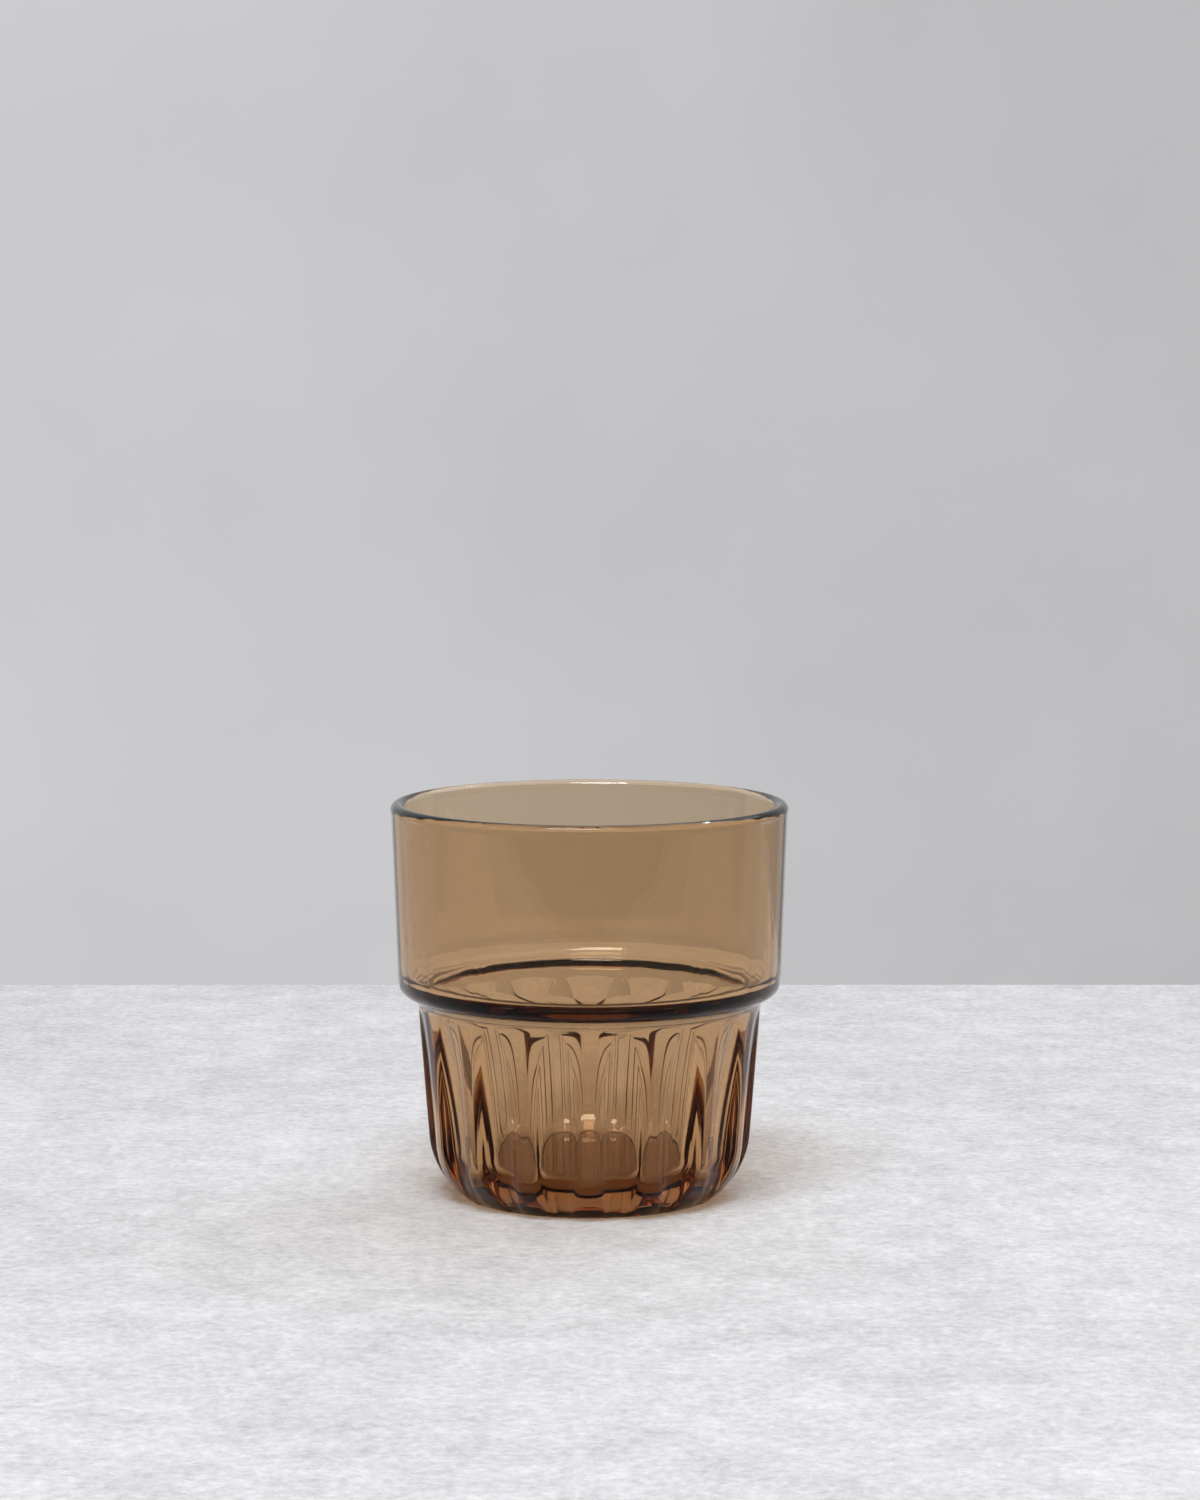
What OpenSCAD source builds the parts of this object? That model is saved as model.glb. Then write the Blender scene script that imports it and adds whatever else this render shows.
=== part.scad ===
/* [Rim and band] */
// Height of the tumbler above the table
height = 74.6; // [68:0.1:90]
// Outer diameter over the rim bead
rim_d = 75; // [66:0.5:90]
// Radius of the rounded rim bead
bead_r = 1.3; // [1.2:0.05:1.6]
// How far the bead stands out past the band below it
bead_proud = 0.15; // [0.05:0.05:0.4]
// Radius of the hollow under the bead
neck_r = 2; // [0.8:0.1:3]
// How far the band narrows on each side between the rim and the step
band_draft = 1.15; // [0.2:0.05:2.5]
// Wall thickness of the band
band_wall = 2.5; // [1.9:0.1:2.8]

/* [Step] */
// Height where the body runs out into the step
step_z = 35.6; // [32:0.2:41]
// How far the body stands in from the bottom of the band
step_in = 3.85; // [2.5:0.05:5]
// Outer rounding at the foot of the band
step_round = 2.6; // [2.2:0.1:3.6]
// Radius of the hollow where the step's underside turns into the body
step_hollow = 2.8; // [2:0.1:3.6]
// Height of the ledge inside above the foot of the step
ledge_wall = 4.6; // [3.8:0.1:5.2]
// Inner rounding where the band's inside turns onto the ledge
ledge_fillet = 2.8; // [1:0.1:3]
// Rounding of the ledge's inner lip
lip_round = 1.1; // [0.6:0.1:1.2]

/* [Fluted body] */
// Taper of the body's side, in degrees from upright
body_taper = 4.6; // [3.5:0.1:5.5]
// Radius of the rounded heel
heel_round = 15.2; // [13:0.1:18]
// How far the foot's edge stands in from the body's side under the step
foot_in = 8.15; // [7:0.05:10]
// Number of flutes round the body
flute_count = 16; // [12:1:17]
// Width of a flute's flat floor
flute_floor = 1.4; // [0.8:0.1:2.4]
// Radius of the coved sides of a flute
flute_cove = 4.2; // [3.4:0.1:5.4]
// Depth of a flute right under the step
flute_depth = 0.1; // [0.05:0.05:0.35]
// Lean of a flute's floor right under the step, in degrees from upright
flute_lean = 16.7; // [15:0.1:17.5]
// Lean of a flute's floor where it turns in at the heel, in degrees from upright
flute_low_lean = 0.2; // [0:0.1:2]
// Height where a flute's floor turns in at the heel
flute_turn = 8.5; // [7:0.1:11]
// How far a flute cuts into the edge of the foot
flute_nick = 0.45; // [0.1:0.05:1]

/* [Cavity] */
// Thickness of the body's wall at the ledge's lip
lip_wall = 3; // [2.4:0.1:4]
// Taper of the lower cavity's side, in degrees from upright
cavity_taper = 11.5; // [9:0.1:13]
// Thickness of the base under the cavity's floor
base_wall = 5.2; // [3.8:0.1:7.6]
// Rounding between the cavity's side and its floor
floor_fillet = 5; // [2:0.1:7.5]

/* [Hidden] */
amber = [0.62, 0.5, 0.38, 0.7];
overrun = 2;
fine_fn = 96;
sweep_fn = 240;
arc_step = 7;
overrun_angle = 2;

rim_r = rim_d / 2;
band_top_r = rim_r - bead_proud;
band_r = band_top_r - band_draft;
body_r = band_r - step_in;
foot_r = body_r - foot_in;
cavity_r = body_r - lip_wall;
bead_z = height - bead_r;
bead_x = rim_r - bead_r;
neck_x = band_top_r + neck_r;
neck_z = bead_z - sqrt(pow(neck_r + bead_r, 2) - pow(neck_x - bead_x, 2));
neck_angle = atan2(bead_z - neck_z, bead_x - neck_x);
step_spread = step_round + step_hollow;
step_angle = acos(1 - step_in / step_spread);
ledge_z = step_z + ledge_wall;
lip_x = cavity_r + lip_round;
lip_z = ledge_z - lip_round;
band_inner_top_r = band_top_r - band_wall;
band_inner_r = band_r - band_wall;

// Points of an arc round c from angle a to angle b, both ends included
function arc(c, r, a, b) =
    let (n = max(1, ceil(abs(b - a) / arc_step)))
    [for (i = [0:n]) c + r * [cos(a + (b - a) * i / n), sin(a + (b - a) * i / n)]];

// Unit vector at an angle in the profile plane
function unit(a) = [cos(a), sin(a)];

// Centre of the heel's arc: it touches the body's tapered side and ends at the foot's edge
heel_centre =
    let (start = [body_r, step_z] - heel_round * unit(-body_taper),
         down = unit(-90 - body_taper),
         back = start - [foot_r, 0],
         along = back * down)
    start + down * (-along - sqrt(along * along - back * back + heel_round * heel_round));

// Centre of the rounding between the cavity's tapered side and its floor
fillet_centre =
    let (side = [lip_x, lip_z] + (lip_round + floor_fillet) * unit(180 - cavity_taper),
         down = unit(-90 - cavity_taper))
    side + down * ((base_wall + floor_fillet - side[1]) / down[1]);

// A flute's floor follows two arcs: a long belly with its centre outside, then the heel's arc inside
belly_r = (step_z - flute_turn) / (sin(flute_lean) - sin(flute_low_lean));
belly_centre = [body_r - flute_depth, step_z] + belly_r * unit(-flute_lean);
flute_heel_start = belly_centre - belly_r * unit(-flute_low_lean);
flute_heel_end = [foot_r - flute_nick, 0];
flute_heel_chord = flute_heel_start - flute_heel_end;
flute_heel_r = flute_heel_chord * flute_heel_chord / (2 * flute_heel_chord * unit(-flute_low_lean));
flute_heel_centre = flute_heel_start - flute_heel_r * unit(-flute_low_lean);
flute_heel_angle = atan2(-flute_heel_centre[1], flute_heel_end[0] - flute_heel_centre[0]);

// Outside of the tumbler without its flutes, from the foot up to the rim's crest
module outside_profile() {
    heel_foot = atan2(-heel_centre[1], foot_r - heel_centre[0]);
    polygon(concat(
        [[0, 0]],
        arc(heel_centre, heel_round, heel_foot, -body_taper),
        arc([body_r + step_hollow, step_z], step_hollow, 180, 180 - step_angle),
        arc([band_r - step_round, step_z + step_spread * sin(step_angle)], step_round, -step_angle, 0),
        arc([neck_x, neck_z], neck_r, 180, neck_angle),
        arc([bead_x, bead_z], bead_r, neck_angle - 180, 90),
        [[0, height]]
    ));
}

// Inside of the tumbler, from the rim down over the ledge to the floor
module cavity_profile() {
    polygon(concat(
        [[0, height + overrun], [bead_x, height + overrun]],
        arc([bead_x, bead_z], bead_r, 90, 180),
        [[band_inner_top_r, bead_z - bead_r]],
        arc([band_inner_r - ledge_fillet, ledge_z + ledge_fillet], ledge_fillet, 0, -90),
        arc([lip_x, lip_z], lip_round, 90, 180 - cavity_taper),
        arc(fillet_centre, floor_fillet, -cavity_taper, -90),
        [[0, base_wall]]
    ));
}

// Flat floor and coved sides of one flute, cut across; the floor lies on x = 0
module flute_section() {
    translate([0, -flute_floor / 2]) square([2 * flute_cove, flute_floor]);
    for (side = [-1, 1]) translate([flute_cove, side * flute_floor / 2]) circle(flute_cove, $fn = fine_fn);
}

// Sweeps an outline round a level axis through the profile's point c, from angle a to angle b
module sweep(c, a, b) {
    translate([c[0], 0, c[1]])
        rotate([90, 0, 0])
            rotate([0, 0, a])
                rotate_extrude(angle = b - a, $fn = sweep_fn) children();
}

// One flute on the +X side: the belly from the step down, then the heel out to the foot's edge
module flute() {
    sweep(belly_centre, 180 - flute_lean - overrun_angle, 180 - flute_low_lean)
        translate([belly_r, 0]) mirror([1, 0]) flute_section();
    sweep(flute_heel_centre, flute_heel_angle - overrun_angle, -flute_low_lean)
        translate([flute_heel_r, 0]) flute_section();
}

module flutes() {
    intersection() {
        translate([0, 0, -overrun]) cylinder(h = step_z + overrun, r = rim_r, $fn = fine_fn);
        union() {
            for (i = [0:flute_count - 1]) rotate([0, 0, (i + 0.5) * 360 / flute_count - 90]) flute();
        }
    }
}

module tumbler() {
    color(amber)
        difference() {
            rotate_extrude($fn = fine_fn) outside_profile();
            rotate_extrude($fn = fine_fn) cavity_profile();
            flutes();
        }
}

tumbler();
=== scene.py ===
"""A pressed stacking glass with a brown tint on its outside, on a pale table."""
import math

import bpy
import numpy as np
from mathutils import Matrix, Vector


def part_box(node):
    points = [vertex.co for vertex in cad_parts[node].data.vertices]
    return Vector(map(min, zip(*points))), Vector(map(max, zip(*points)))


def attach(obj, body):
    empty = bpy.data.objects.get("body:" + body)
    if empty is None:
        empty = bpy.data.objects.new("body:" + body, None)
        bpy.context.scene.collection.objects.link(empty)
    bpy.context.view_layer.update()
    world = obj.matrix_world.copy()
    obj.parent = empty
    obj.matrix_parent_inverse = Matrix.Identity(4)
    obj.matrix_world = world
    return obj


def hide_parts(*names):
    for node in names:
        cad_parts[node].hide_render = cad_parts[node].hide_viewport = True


bl_info = {
    "name": "Stacking Coffee Glass",
    "version": (1, 0, 0),
    "blender": (4, 5, 0),
    "location": "View3D > Sidebar > Glass",
    "description": "Builds a fluted stacking glass with a tinted outside, its table and its light",
    "category": "Object",
}

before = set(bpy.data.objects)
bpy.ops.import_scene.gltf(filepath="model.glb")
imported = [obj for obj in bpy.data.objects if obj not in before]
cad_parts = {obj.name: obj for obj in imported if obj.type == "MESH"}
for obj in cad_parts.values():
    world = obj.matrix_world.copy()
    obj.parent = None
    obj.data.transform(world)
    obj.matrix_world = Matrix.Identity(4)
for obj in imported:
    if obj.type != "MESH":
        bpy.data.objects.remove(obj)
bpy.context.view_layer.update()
NODE_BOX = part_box("tumbler")
SLOT = "tinted_glass"
MM = 0.001
HALVINGS = 44
SOLE_RINGS = 3
TABLE_GAP = 0.05 * MM


def length(name, text, default, **limits):
    """A float property in metres."""
    return bpy.props.FloatProperty(
        name=name, description=text, default=default, unit="LENGTH", precision=5, **limits)


def angle(name, text, degrees):
    """A float property that holds an angle."""
    return bpy.props.FloatProperty(
        name=name, description=text, default=math.radians(degrees), subtype="ANGLE")


def number(name, text, default, low=0.0, high=1000.0):
    """A plain float property."""
    return bpy.props.FloatProperty(name=name, description=text, default=default, min=low, max=high)


def colour(name, text, default):
    """A linear RGB colour property."""
    return bpy.props.FloatVectorProperty(
        name=name, description=text, default=default, subtype="COLOR", size=3, min=0.0, max=1.0)


def spot(name, text, default):
    """A property that holds a place in metres."""
    return bpy.props.FloatVectorProperty(
        name=name, description=text, default=default, subtype="TRANSLATION", size=3)


class TumblerSizes(bpy.types.PropertyGroup):
    """Sizes of the glass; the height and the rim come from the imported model."""

    height: length("Height", "Height of the rim above the table", NODE_BOX[1][2])
    rim: length("Rim radius", "Radius over the rim bead", NODE_BOX[1][0])
    bead: length("Bead radius", "Radius of the rounded rim bead", 1.3 * MM)
    bead_proud: length("Bead stand-out", "How far the bead stands out past the band", 0.15 * MM)
    neck: length("Neck radius", "Radius of the hollow under the bead", 2.0 * MM)
    band_draft: length("Band draft", "How far the band narrows down to the step", 1.15 * MM)
    band_wall: length("Band wall", "Thickness of the band", 2.5 * MM)
    step_height: length("Step height", "Height where the body runs out into the step", 35.6 * MM)
    step_in: length("Step width", "How far the body stands in from the band", 3.85 * MM)
    step_round: length("Step rounding", "Rounding at the foot of the band", 2.6 * MM)
    step_hollow: length("Step hollow", "Radius of the hollow between step and body", 2.8 * MM)
    ledge_wall: length("Ledge wall", "Height of the ledge above the foot of the step", 4.6 * MM)
    ledge_fillet: length("Ledge fillet", "Rounding between the band's inside and the ledge", 2.8 * MM)
    lip_round: length("Lip rounding", "Rounding of the ledge's lip", 1.1 * MM)
    lip_wall: length("Lip wall", "Thickness of the body's wall at the lip", 3.0 * MM)
    body_taper: angle("Body taper", "Taper of the body's side from upright", 4.6)
    heel_round: length("Heel rounding", "Radius of the rounded heel", 15.2 * MM)
    foot_in: length("Foot inset", "How far the foot's edge stands in from the body", 8.15 * MM)
    cavity_taper: angle("Cavity taper", "Taper of the cavity's side from upright", 11.5)
    base_wall: length("Base", "Glass under the cavity's floor", 5.2 * MM)
    floor_fillet: length("Floor fillet", "Rounding between the cavity's side and floor", 5.0 * MM)
    flute_count: bpy.props.IntProperty(
        name="Flutes", description="Number of flutes round the body", default=16, min=8, max=24)
    flute_floor: length("Flute floor", "Width of a flute's flat floor", 1.4 * MM)
    flute_cove: length("Flute cove", "Radius of a flute's coved sides", 4.2 * MM)
    flute_depth: length("Flute depth", "Depth of a flute right under the step", 0.1 * MM)
    flute_lean: angle("Flute lean", "Lean of a flute's floor under the step", 16.7)
    flute_low_lean: angle("Flute low lean", "Lean of a flute's floor above the heel", 0.2)
    flute_turn: length("Flute turn", "Height where a flute's floor turns in", 8.5 * MM)
    flute_nick: length("Flute nick", "How far a flute cuts into the foot's edge", 0.45 * MM)


class TintSettings(bpy.types.PropertyGroup):
    """Colour and surface of the glass."""

    ior: number("Refraction", "Refractive index of the glass", 1.5, 1.0, 2.0)
    crossing: colour("Tint", "What one pass through the tinted outside leaves", (0.81, 0.67, 0.505))
    depth_colour: colour("Glass", "Colour that the glass takes on over a long way", (0.8, 0.58, 0.32))
    depth_density: number("Depth", "How strongly the glass absorbs, per metre", 48.0, 0.0, 200.0)
    sheen: number("Sheen", "How strongly the outside mirrors, beside clear glass", 0.25, 0.0, 1.0)
    leaving_layers: number("Side layers", "Layers of tint on the way out at the side", 1.15, 1.0, 5.0)
    # At the sole, light leaves through more layers than the tint has. These extra layers are painted
    # shade for the dim table under the glass.
    sole_tint_and_painted_shade: number("Sole layers", "Layers of tint on the way out at the sole", 3.0, 1.0, 5.0)
    shade: number("Shade", "Share of the lamps' light that each surface passes on", 0.78, 0.3, 1.0)
    patch_depth: number("Patches", "How much thicker the tint is in its patches", 0.1, 0.0, 1.0)
    patch_scale: number("Patch scale", "Tint patches per metre", 45.0)
    wave_height: length("Wave height", "Height of the pressed surface's waves", 0.02 * MM)
    wave_scale: number("Wave scale", "Waves per metre", 140.0)
    streak_height: length("Streak height", "Height of the mould's upright polishing marks", 0.002 * MM)
    streak_scale: number("Streak scale", "Polishing marks per metre", 900.0)


class StageSettings(bpy.types.PropertyGroup):
    """Table, backdrop, lamps and camera."""

    table: colour("Table", "Colour of the table", (0.73, 0.725, 0.745))
    backdrop: colour("Backdrop", "Colour of the backdrop", (0.552, 0.552, 0.565))
    mottling: number("Mottling", "How far the table's stains stray from its colour", 0.25, 0.0, 0.4)
    cloud_scale: number("Clouds", "Clouds on the table per metre", 14.0)
    stain_scale: number("Stains", "Stains on the table per metre", 70.0)
    grain_scale: number("Grains", "Grains on the table per metre", 480.0)
    plaster: length("Plaster", "Height of the table's unevenness", 0.4 * MM)
    # Strength of the painted shade that darkens the glowing backdrop towards its right side.
    backdrop_painted_falloff: number("Backdrop fall", "How far its sides stray from its colour", 0.14, 0.0, 0.5)
    backdrop_clouds: number("Backdrop clouds", "Clouds on the backdrop per metre", 5.0)
    table_back: length("Table's back edge", "Distance of the table's back edge", 0.239)
    table_front: length("Table's front edge", "Distance of the table's front edge", 0.265)
    table_side: length("Table's half width", "Half the width of the table", 0.9)
    backdrop_back: length("Backdrop distance", "Distance of the backdrop", 1.2)
    backdrop_top: length("Backdrop height", "Height of the backdrop", 1.6)
    backdrop_drop: length("Backdrop drop", "How far the backdrop reaches below the table", 1.0)
    backdrop_side: length("Backdrop's half width", "Half the width of the backdrop", 2.0)
    key_place: spot("Key place", "Place of the soft box behind and to the right", (0.45, 0.55, 1.3))
    key_watts: number("Key light", "Power of the soft box behind and to the right", 9.6)
    key_size: length("Key size", "Side of the soft box behind and to the right", 1.7)
    spark_place: spot("Spark place", "Place of the small lamp", (0.5, 0.7, 1.1))
    spark_watts: number("Spark", "Power of the small lamp that makes the glints", 1.5)
    spark_size: length("Spark size", "Side of the small lamp", 0.06)
    fill_place: spot("Fill place", "Place of the light over the table", (-0.1, -0.5, 1.1))
    fill_aim: spot("Fill aim", "Where the light over the table points", (0.0, -0.1, 0.0))
    fill_watts: number("Fill light", "Power of the light over the table", 10.4)
    fill_size: length("Fill size", "Side of the light over the table", 0.5)
    glass_middle: spot("Glass middle", "Where the key light and the small lamp point", (0.0, 0.0, 0.03))
    room: number("Room", "Strength of the dim light all round", 0.02)
    camera_back: length("Camera distance", "Camera's distance in front of the glass", 0.7753)
    camera_height: length("Camera height", "Camera's height above the table", 0.1684)
    camera_side: length("Camera side", "Camera's place to the right of the glass", 0.002)
    camera_pitch: angle("Camera pitch", "How far the camera looks down", 6.188)
    focal: bpy.props.FloatProperty(
        name="Focal length", description="Lens in millimetres on a picture 36 mm high", default=99.475)


def direction(turn):
    """Unit vector in the profile plane: cosine and sine of the angle."""
    return np.array([math.cos(turn), math.sin(turn)])


def arc(centre, radius, start, end, count):
    """Points of an arc: centre plus radius times (cos t, sin t) for t from start to end."""
    t = np.linspace(start, end, count)
    return np.asarray(centre) + radius * np.stack([np.cos(t), np.sin(t)], axis=1)


def line(start, end, shares):
    """Points of a straight stretch, at the given shares of the way from start to end."""
    return np.asarray(start) + (np.asarray(end) - np.asarray(start)) * np.asarray(shares)[:, None]


def radii(s):
    """Radius of the band under the bead, of its bottom, of the body and of the foot."""
    top = s.rim - s.bead_proud
    band = top - s.band_draft
    body = band - s.step_in
    return top, band, body, body - s.foot_in


def heel_centre(s):
    """Centre of the heel's arc, which touches the tapered side and ends at the foot's edge.

    The centre lies one radius inside the side. It slides down along the side by the smaller root
    of the quadratic that puts the foot's edge one radius away from it.
    """
    body, foot = radii(s)[2:]
    start = np.array([body, s.step_height]) - s.heel_round * direction(-s.body_taper)
    down = direction(-math.pi / 2 - s.body_taper)
    back = start - np.array([foot, 0.0])
    along = back @ down
    return start + down * (-along - math.sqrt(along ** 2 - back @ back + s.heel_round ** 2))


def outside(s):
    """Outside profile (radius, height) without flutes, from the foot up to the rim."""
    top, band, body, foot = radii(s)
    centre = heel_centre(s)
    rest = math.atan2(-centre[1], foot - centre[0])
    heel = arc(centre, s.heel_round, rest, -s.body_taper, 30)
    under_step = 1 - (1 - np.linspace(0, 1, 38)[1:-1]) ** 1.7
    side = line(heel[-1], (body, s.step_height), under_step)
    spread = s.step_round + s.step_hollow
    lean = math.acos(1 - s.step_in / spread)
    hollow = arc((body + s.step_hollow, s.step_height), s.step_hollow, math.pi, math.pi - lean, 9)
    step_centre = (band - s.step_round, s.step_height + spread * math.sin(lean))
    step = arc(step_centre, s.step_round, -lean, 0.0, 14)
    bead_centre = np.array([s.rim - s.bead, s.height - s.bead])
    neck_x = top + s.neck
    drop = math.sqrt((s.neck + s.bead) ** 2 - (neck_x - bead_centre[0]) ** 2)
    neck_centre = np.array([neck_x, bead_centre[1] - drop])
    meet = math.atan2(-drop, neck_x - bead_centre[0])
    neck = arc(neck_centre, s.neck, math.pi, math.pi + meet, 8)
    bead = arc(bead_centre, s.bead, meet, math.pi / 2, 18)
    sole = line((0.0, 0.0), (foot, 0.0), (0, 0.5, 0.9, 0.985))
    plain = line(step[-1], neck[0], (0.02, 0.08, 0.25, 0.5, 0.75, 0.92, 0.98))
    return np.concatenate([sole, heel, side, hollow, step[1:], plain, neck, bead[1:]])


def inside(s):
    """Inside profile (radius, height): bead, band, ledge, lip, cavity side, fillet, floor."""
    top, band, body = radii(s)[:3]
    bead = arc((s.rim - s.bead, s.height - s.bead), s.bead, math.pi / 2, math.pi, 13)[1:]
    ledge = s.step_height + s.ledge_wall
    turn = arc((band - s.band_wall - s.ledge_fillet, ledge + s.ledge_fillet),
               s.ledge_fillet, 0.0, -math.pi / 2, 10)
    start = np.array([top - s.band_wall, s.height - 2 * s.bead])
    wall = line(start, turn[0], (0, 0.02, 0.1, 0.3, 0.5, 0.75, 0.92, 0.98))
    lip_centre = np.array([body - s.lip_wall + s.lip_round, ledge - s.lip_round])
    lip = arc(lip_centre, s.lip_round, math.pi / 2, math.pi - s.cavity_taper, 9)
    inward = direction(math.pi - s.cavity_taper)
    down = direction(-math.pi / 2 - s.cavity_taper)
    centre = lip_centre + inward * (s.lip_round + s.floor_fillet)
    centre = centre + down * ((s.base_wall + s.floor_fillet - centre[1]) / down[1])
    fillet = arc(centre, s.floor_fillet, -s.cavity_taper, -math.pi / 2, 22)
    side = line(lip[-1], fillet[0], (0.03, 0.1, 0.3, 0.5, 0.7, 0.9, 0.97))
    floor = line((centre[0], s.base_wall), (0.0, s.base_wall), (0.03, 0.1, 0.4, 0.7, 1))
    return np.concatenate([bead, wall, turn, lip, side, fillet, floor])


def flute_floor(s, z):
    """Radius of a flute's floor at height z, and how much its coves are stretched there.

    The floor follows a long arc with its centre outside the glass, from the step down to the
    turn, and then an arc with its centre inside that ends within the foot's edge. The coves are
    cut square to that path, so a level section stretches them by one over the cosine of its lean.
    """
    body, foot = radii(s)[2:]
    radius = (s.step_height - s.flute_turn) / (math.sin(s.flute_lean) - math.sin(s.flute_low_lean))
    centre = np.array([body - s.flute_depth, s.step_height]) + radius * direction(-s.flute_lean)
    turn = centre - radius * direction(-s.flute_low_lean)
    chord = turn - np.array([foot - s.flute_nick, 0.0])
    heel_radius = (chord @ chord) / (2 * chord @ direction(-s.flute_low_lean))
    heel = turn - heel_radius * direction(-s.flute_low_lean)
    steepest = 0.97
    upper = np.sqrt(1 - np.clip((z - centre[1]) / radius, -steepest, steepest) ** 2)
    lower = np.sqrt(1 - np.clip((z - heel[1]) / heel_radius, -steepest, steepest) ** 2)
    above = z > s.flute_turn
    floor = np.where(above, centre[0] - radius * upper, heel[0] + heel_radius * lower)
    return floor, 1 / np.where(above, upper, lower)


def cove_end(half, cove, floor, stretch, land):
    """Angle along the cove at which it meets the land, by halving the interval.

    A point of the cove is (half + cove sin a, floor + stretch cove (1 - cos a)); its distance
    from the axis grows with a, and the end is where it equals the land's radius.
    """
    low, high = np.zeros_like(land), np.full_like(land, math.pi / 2)
    for _ in range(HALVINGS):
        mid = (low + high) / 2
        across = half + cove * np.sin(mid)
        out = floor + stretch * cove * (1 - np.cos(mid))
        short = np.hypot(across, out) < land
        low, high = np.where(short, mid, low), np.where(short, high, mid)
    return (low + high) / 2


def fluted_rings(s, profile):
    """Rings round the outside, as angle and radius for each profile point and column.

    Half a flute's pitch has three stretches of columns: the flat floor, the cove and the land.
    The other half mirrors it. Where the floor lies outside the land there is no recess, and the
    columns only keep their angles, with the cove's columns in a narrow strip.
    """
    widest, strip = 0.49, 0.05
    pitch = 2 * math.pi / s.flute_count
    foot = radii(s)[3]
    floor_shares = np.array([0.0, 0.4, 0.8])
    cove_shares = np.array([0.0, 0.2, 0.4, 0.6, 0.8])
    land_shares = np.array([0.0, 0.6, 1.0])
    share = np.concatenate([floor_shares, cove_shares, land_shares])[None, :]
    part = np.repeat([0, 1, 2], [len(floor_shares), len(cove_shares), len(land_shares)])[None, :]
    land, z = profile[:, :1], profile[:, 1:]
    half, cove = s.flute_floor / 2, s.flute_cove
    floor, stretch = flute_floor(s, z)
    cut = (z <= s.step_height) & (land >= foot - 1e-9) & (np.hypot(half, floor) < land)
    end = cove_end(half, cove, floor, stretch, np.where(cut, land, floor + cove))
    plain_end = np.arctan2(half, radii(s)[2])
    cove_angle = end * share
    across = np.where(part == 0, half * share, half + cove * np.sin(cove_angle))
    out = np.where(part == 0, floor, floor + stretch * cove * (1 - np.cos(cove_angle)))
    edge = np.arctan2(half + cove * np.sin(end), floor + stretch * cove * (1 - np.cos(end)))
    edge = np.where(cut, np.minimum(edge, widest * pitch), plain_end * (1 + strip))
    turn = np.where(part == 2, edge + (pitch / 2 - edge) * share, np.arctan2(across, out))
    plain = np.where(part == 0, plain_end * share, plain_end * (1 + strip * share))
    turn = np.where((part < 2) & ~cut, plain, turn)
    radius = np.where((part < 2) & cut, np.minimum(np.hypot(across, out), land), land)
    turn = np.concatenate([turn, pitch - turn[:, -2:0:-1]], axis=1)
    radius = np.concatenate([radius, radius[:, -2:0:-1]], axis=1)
    starts = (np.arange(s.flute_count) + 0.5) * pitch
    turn = (turn[:, None, :] + starts[None, :, None]).reshape(len(profile), -1)
    return turn, np.tile(radius, (1, s.flute_count))


def tumbler_grid(s):
    """All rings from the foot's centre over the rim to the cavity floor's centre.

    Returns the points (x = r sin t, y = -r cos t, z) as rows by columns, and the number of rows
    that belong to the outside.
    """
    out, within = outside(s), inside(s)
    turn, radius = fluted_rings(s, out)
    columns = turn.shape[1]
    turn = np.concatenate([turn, np.repeat(turn[-1:], len(within), axis=0)])
    radius = np.concatenate([radius, np.repeat(within[:, :1], columns, axis=1)])
    height = np.repeat(np.concatenate([out[:, 1:], within[:, 1:]]), columns, axis=1)
    grid = np.stack([radius * np.sin(turn), -radius * np.cos(turn), height], axis=-1)
    return grid, len(out)


def closed_mesh(name, grid):
    """A closed mesh from rows of rings whose first and last rows are single points."""
    rows, columns = grid.shape[:2]
    points = np.concatenate([grid[1:-1].reshape(-1, 3), grid[:1, 0], grid[-1:, 0]])
    index = np.arange((rows - 2) * columns).reshape(rows - 2, columns)
    ahead = np.roll(index, -1, axis=1)
    quads = np.stack([index[:-1], ahead[:-1], ahead[1:], index[1:]], axis=-1).reshape(-1, 4)
    first, last = len(points) - 2, len(points) - 1
    sole = np.stack([np.full(columns, first), ahead[0], index[0]], axis=-1)
    floor = np.stack([np.full(columns, last), index[-1], ahead[-1]], axis=-1)
    mesh = bpy.data.meshes.new(name)
    mesh.from_pydata(points.tolist(), [], quads.tolist() + sole.tolist() + floor.tolist())
    mesh.update()
    mesh.polygons.foreach_set("use_smooth", np.ones(len(mesh.polygons), dtype=bool))
    return mesh, columns


class Wire:
    """A shader socket; + - and * between wires and numbers add Math nodes."""

    def __init__(self, paint, socket):
        self.paint = paint
        self.socket = socket

    def math(self, operation, first, second):
        """A Math node on two values."""
        return self.paint.node("ShaderNodeMath", {"operation": operation}, {0: first, 1: second})

    def __add__(self, other):
        return self.math("ADD", self, other)

    def __sub__(self, other):
        return self.math("SUBTRACT", self, other)

    def __rsub__(self, other):
        return self.math("SUBTRACT", other, self)

    def __mul__(self, other):
        return self.math("MULTIPLY", self, other)

    __radd__ = __add__
    __rmul__ = __mul__


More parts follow.
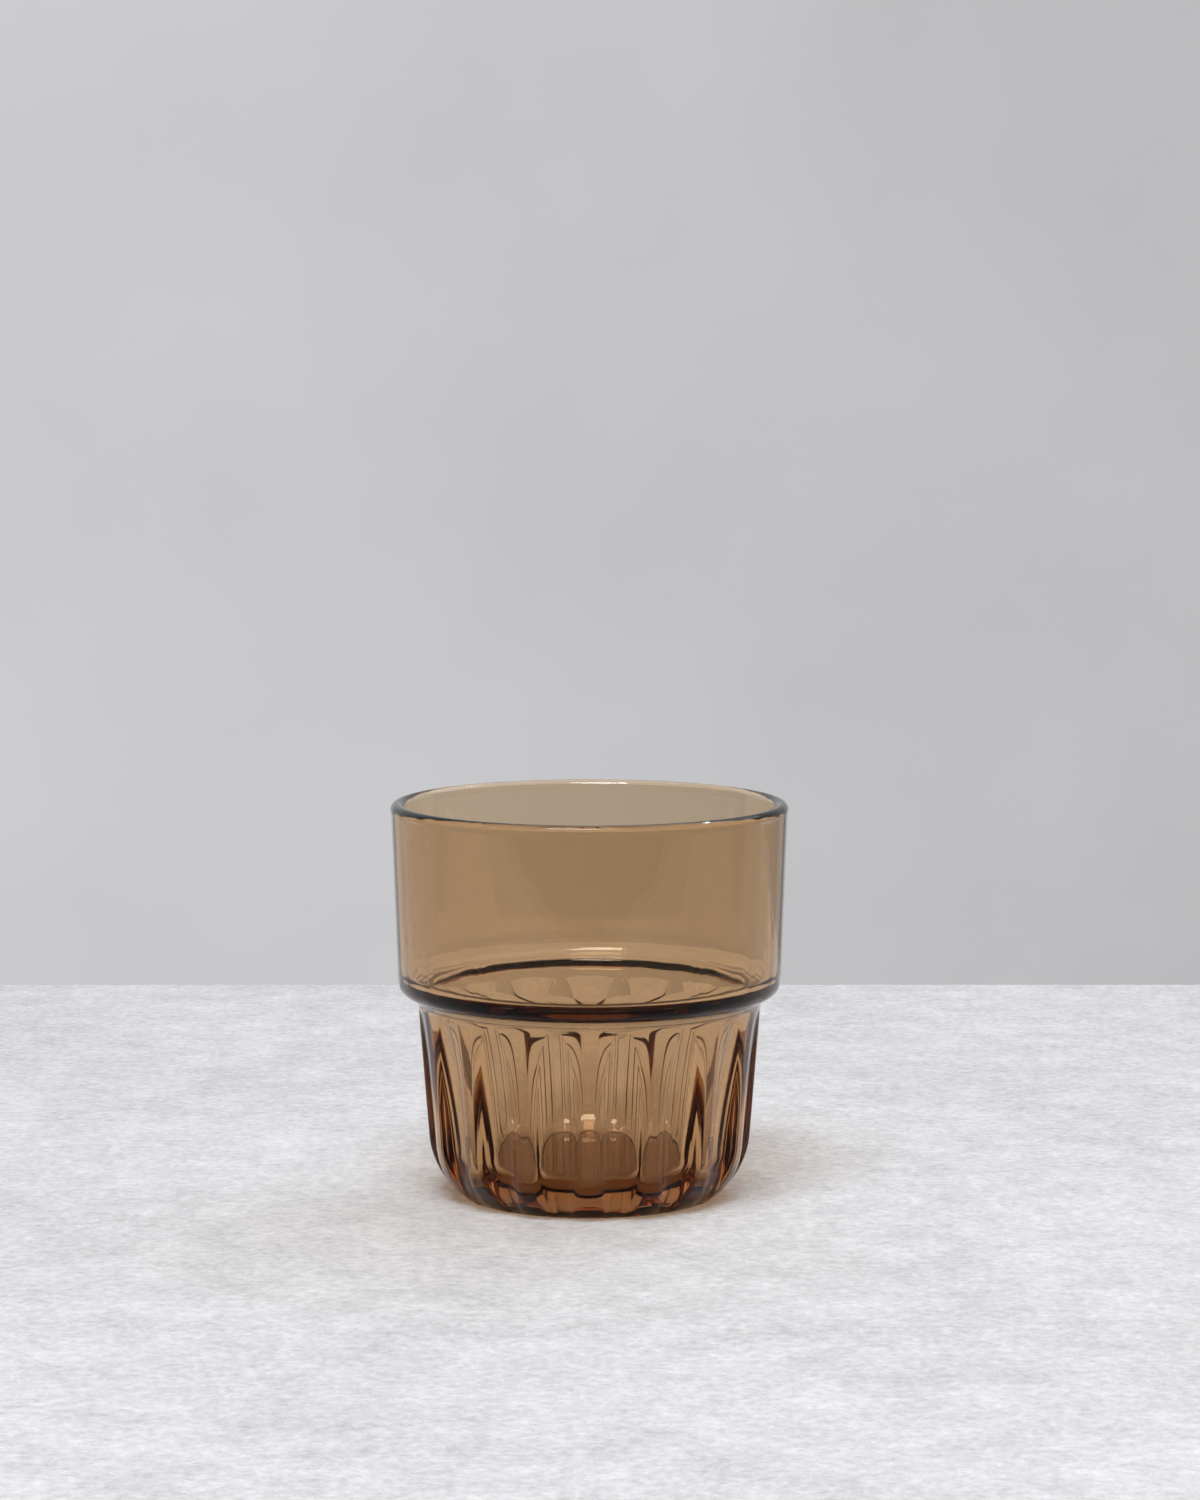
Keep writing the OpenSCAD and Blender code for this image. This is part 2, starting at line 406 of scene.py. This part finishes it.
class Paint:
    """A material under construction."""

    def __init__(self, name):
        self.material = bpy.data.materials.new(name)
        self.material.use_nodes = True
        self.tree = self.material.node_tree
        self.tree.nodes.clear()

    def node(self, kind, settings=None, sockets=None, out=0):
        """Adds a node: settings first, then values or links of its sockets; returns an output."""
        made = self.tree.nodes.new(kind)
        for name, value in (settings or {}).items():
            setattr(made, name, value)
        for name, value in (sockets or {}).items():
            if isinstance(value, Wire):
                self.tree.links.new(value.socket, made.inputs[name])
            else:
                made.inputs[name].default_value = value
        return Wire(self, made.outputs[out]) if len(made.outputs) else None

    def noise(self, where, scale, detail=2.0, roughness=0.5):
        """Noise from 0 to 1 at a place."""
        return self.node("ShaderNodeTexNoise", {"noise_dimensions": "3D"},
                         {"Vector": where, "Scale": scale, "Detail": detail, "Roughness": roughness})

    def finish(self, surface, volume=None):
        """Links the shaders to the output and returns the material."""
        shaders = {"Surface": surface} if volume is None else {"Surface": surface, "Volume": volume}
        self.node("ShaderNodeOutputMaterial", None, shaders)
        return self.material


def rgba(values):
    """Four channels from three."""
    return (*values, 1.0)


def shades(base, spread):
    """The two colour sockets of a Mix node: the base scaled by 1 + spread and by 1 - spread."""
    return {6: rgba((1 + spread) * c for c in base), 7: rgba((1 - spread) * c for c in base)}


def tinted_glass(t):
    """Faintly coloured glass whose outside carries a thin brown tint.

    The attribute "tinted" is 1 on the outside and "sole" on the foot's underside. Light that
    enters meets the tint once, through the base colour. Light already inside meets it on the
    faces seen from behind: once as it leaves, and twice as it is thrown back in, on a path
    through the tint that is the longer the flatter it strikes. At the sole it leaves through
    extra layers: painted shade that stands in for the dim table under the glass. That turns
    the base, the step and every edge deep brown. A volume absorbs a little on long ways.
    """
    paint = Paint(SLOT)
    tint = np.array(t.crossing)
    tinted = paint.node("ShaderNodeAttribute", {"attribute_name": "tinted"}, None, "Fac")
    sole = paint.node("ShaderNodeAttribute", {"attribute_name": "sole"}, None, "Fac")
    where = paint.node("ShaderNodeTexCoord", None, None, "Object")
    patches = paint.noise(where, t.patch_scale, 3.0)
    patchy = paint.node("ShaderNodeMix", {"data_type": "RGBA"}, {
        0: patches, 6: rgba(tint ** (2 - t.patch_depth)), 7: rgba(tint ** (2 + t.patch_depth))}, 2)
    waves = paint.noise(where, t.wave_scale, 1.0)
    stretched = paint.node("ShaderNodeMapping", None, {"Vector": where, "Scale": (1.0, 1.0, 0.04)})
    streaks = paint.noise(stretched, t.streak_scale, 1.0)
    height = waves * t.wave_height + streaks * t.streak_height * tinted
    bump = paint.node("ShaderNodeBump", None, {"Strength": 1.0, "Distance": 1.0, "Height": height})
    front = paint.node("ShaderNodeBsdfPrincipled", None, {
        "Base Color": patchy, "Roughness": 0.0, "IOR": t.ior, "Transmission Weight": 1.0,
        "Specular Tint": rgba(3 * (t.sheen,)), "Normal": bump})

    def glass(power):
        """Glass whose light has gone through the tint, taken to a power."""
        return paint.node("ShaderNodeBsdfGlass", None, {
            "Color": rgba(tint ** power), "Roughness": 0.0, "IOR": t.ior, "Normal": bump})

    def choose(share, first, second):
        """The second shader where the share is 1, the first where it is 0."""
        return paint.node("ShaderNodeMixShader", None, {0: share, 1: first, 2: second})

    cosine = 1.0 - paint.node("ShaderNodeLayerWeight", None, {"Blend": 0.5}, "Facing")
    critical = math.sqrt(1 - 1 / t.ior ** 2)
    flattest = 0.25
    graze = paint.node("ShaderNodeMapRange", {"clamp": True}, {
        "Value": cosine, "From Min": critical, "From Max": flattest, "To Min": 0.0, "To Max": 1.0})
    thrown_back = choose(graze, glass(2 / critical), glass(2 / flattest))
    # The sole's extra tint layers are painted shade for the dim, shadowed table under the glass.
    leaving = choose(sole, glass(t.leaving_layers), glass(t.sole_tint_and_painted_shade))
    within = choose(cosine.math("LESS_THAN", cosine, critical), leaving, thrown_back)
    behind = paint.node("ShaderNodeNewGeometry", None, None, "Backfacing")
    body = choose(tinted, glass(0.0), choose(behind, front, within))
    shade = paint.node("ShaderNodeBsdfTransparent", None, {"Color": rgba(t.shade * np.sqrt(tint))})
    lamp = paint.node("ShaderNodeLightPath", None, None, "Is Shadow Ray")
    bounce = paint.node("ShaderNodeLightPath", None, None, "Is Diffuse Ray")
    clear = lamp.math("MAXIMUM", lamp, bounce)
    depth = paint.node("ShaderNodeVolumeAbsorption", None, {
        "Color": rgba(t.depth_colour), "Density": t.depth_density})
    return paint.finish(choose(clear, body, shade), depth)


def table_paint(settings):
    """Pale plastered table: soft clouds, finer stains down to single grains."""
    paint = Paint("pale_table")
    where = paint.node("ShaderNodeTexCoord", None, None, "Object")
    clouds = paint.noise(where, settings.cloud_scale, 6.0)
    stains = paint.noise(where, settings.stain_scale, 9.0, 0.8)
    grain = paint.noise(where, settings.grain_scale, 4.0, 0.75)
    tone = clouds * 0.5 + stains * 1.7 + grain * 1.7 - 1.45
    colours = shades(settings.table, -settings.mottling)
    mixed = paint.node("ShaderNodeMix", {"data_type": "RGBA"}, {0: tone, **colours}, 2)
    bump = paint.node("ShaderNodeBump", None, {
        "Strength": 0.3, "Distance": settings.plaster, "Height": tone})
    return paint.finish(paint.node("ShaderNodeBsdfPrincipled", None, {
        "Base Color": mixed, "Roughness": 0.9, "Specular IOR Level": 0.1, "Normal": bump}))


def backdrop_paint(settings):
    """Even, glowing backdrop whose painted shade darkens it a little to the right, with faint clouds.
    """
    paint = Paint("backdrop")
    where = paint.node("ShaderNodeTexCoord", None, None, "Object")
    across = paint.node("ShaderNodeSeparateXYZ", None, {"Vector": where}, "X")
    # The darkening to the right is painted shade on the glowing backdrop.
    tone = across * 1.1 + paint.noise(where, settings.backdrop_clouds, 4.0) * 0.8 + 0.1
    colours = shades(settings.backdrop, settings.backdrop_painted_falloff)
    mixed = paint.node("ShaderNodeMix", {"data_type": "RGBA"}, {0: tone, **colours}, 2)
    return paint.finish(paint.node("ShaderNodeEmission", None, {"Color": mixed, "Strength": 1.0}))


def put(obj):
    """Adds an object to the scene."""
    bpy.context.scene.collection.objects.link(obj)
    return obj


def quad(name, corners, material):
    """A flat stage piece from four corners."""
    mesh = bpy.data.meshes.new(name)
    mesh.from_pydata(corners, [], [(0, 1, 2, 3)])
    mesh.materials.append(material)
    obj = put(bpy.data.objects.new(name, mesh))


def soft_box(name, place, aim, size, watts):
    """A square area lamp that faces a point."""
    lamp = bpy.data.lights.new(name, "AREA")
    lamp.size = size
    lamp.energy = watts
    obj = put(bpy.data.objects.new(name, lamp))
    obj.location = place
    obj.rotation_euler = (Vector(aim) - Vector(place)).to_track_quat("-Z", "Y").to_euler()


class OBJECT_OT_stacking_tumbler(bpy.types.Operator):
    """Build the pressed glass from its sizes, as one closed mesh"""

    bl_idname = "object.stacking_tumbler"
    bl_label = "Tumbler"

    def execute(self, context):
        grid, outside_rows = tumbler_grid(context.scene.tumbler_sizes)
        mesh, columns = closed_mesh("tumbler_glass", grid)
        mesh.materials.append(tinted_glass(context.scene.tint_settings))
        ring = np.arange(len(mesh.polygons)) // columns
        middle_fan = ring == len(grid) - 3
        outer = (ring < outside_rows - 2) | middle_fan
        sole = (ring < SOLE_RINGS) | middle_fan
        for name, where in (("tinted", outer), ("sole", sole)):
            layer = mesh.attributes.new(name, "FLOAT", "FACE")
            layer.data.foreach_set("value", where.astype(np.float32))
        piece = put(bpy.data.objects.new("tumbler_glass", mesh))
        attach(piece, "root")
        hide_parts("tumbler")
        return {"FINISHED"}


class OBJECT_OT_glass_stage(bpy.types.Operator):
    """Set up the pale table, the backdrop, the lamps, the room and the camera"""

    bl_idname = "object.glass_stage"
    bl_label = "Stage"

    def execute(self, context):
        s = context.scene.stage_settings
        wide, front, back, z = s.table_side, -s.table_front, s.table_back, -TABLE_GAP
        quad("table", [(-wide, front, z), (wide, front, z), (wide, back, z), (-wide, back, z)],
             table_paint(s))
        wide, back, low, top = s.backdrop_side, s.backdrop_back, -s.backdrop_drop, s.backdrop_top
        quad("backdrop", [(-wide, back, low), (wide, back, low), (wide, back, top), (-wide, back, top)],
             backdrop_paint(s))
        soft_box("key", s.key_place, s.glass_middle, s.key_size, s.key_watts)
        soft_box("spark", s.spark_place, s.glass_middle, s.spark_size, s.spark_watts)
        soft_box("fill", s.fill_place, s.fill_aim, s.fill_size, s.fill_watts)
        world = bpy.data.worlds.new("room")
        world.use_nodes = True
        world.node_tree.nodes["Background"].inputs["Color"].default_value = rgba((1, 1, 1))
        world.node_tree.nodes["Background"].inputs["Strength"].default_value = s.room
        context.scene.world = world
        lens = bpy.data.cameras.new("camera")
        lens.sensor_fit = "VERTICAL"
        lens.sensor_height = 36.0
        lens.lens = s.focal
        camera = put(bpy.data.objects.new("camera", lens))
        camera.location = (s.camera_side, -s.camera_back, s.camera_height)
        camera.rotation_euler = (math.pi / 2 - s.camera_pitch, 0.0, 0.0)
        context.scene.camera = camera
        context.scene.view_settings.view_transform = "Standard"
        return {"FINISHED"}


class VIEW3D_PT_stacking_glass(bpy.types.Panel):
    """Sidebar panel with the sizes and the buttons"""

    bl_label = "Stacking Coffee Glass"
    bl_idname = "VIEW3D_PT_stacking_glass"
    bl_space_type = "VIEW_3D"
    bl_region_type = "UI"
    bl_category = "Glass"

    def draw(self, context):
        for name in ("tumbler_sizes", "tint_settings", "stage_settings"):
            group = getattr(context.scene, name)
            box = self.layout.box()
            for prop in group.bl_rna.properties:
                if prop.identifier not in ("rna_type", "name"):
                    box.prop(group, prop.identifier)
        self.layout.operator(OBJECT_OT_stacking_tumbler.bl_idname)
        self.layout.operator(OBJECT_OT_glass_stage.bl_idname)


CLASSES = (TumblerSizes, TintSettings, StageSettings, OBJECT_OT_stacking_tumbler,
           OBJECT_OT_glass_stage, VIEW3D_PT_stacking_glass)


def register():
    for cls in CLASSES:
        bpy.utils.register_class(cls)
    bpy.types.Scene.tumbler_sizes = bpy.props.PointerProperty(type=TumblerSizes)
    bpy.types.Scene.tint_settings = bpy.props.PointerProperty(type=TintSettings)
    bpy.types.Scene.stage_settings = bpy.props.PointerProperty(type=StageSettings)


def unregister():
    del bpy.types.Scene.stage_settings
    del bpy.types.Scene.tint_settings
    del bpy.types.Scene.tumbler_sizes
    for cls in reversed(CLASSES):
        bpy.utils.unregister_class(cls)


def main():
    """Registers the classes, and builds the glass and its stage."""
    register()
    bpy.ops.object.stacking_tumbler()
    bpy.ops.object.glass_stage()


if __name__ == "__main__":
    main()
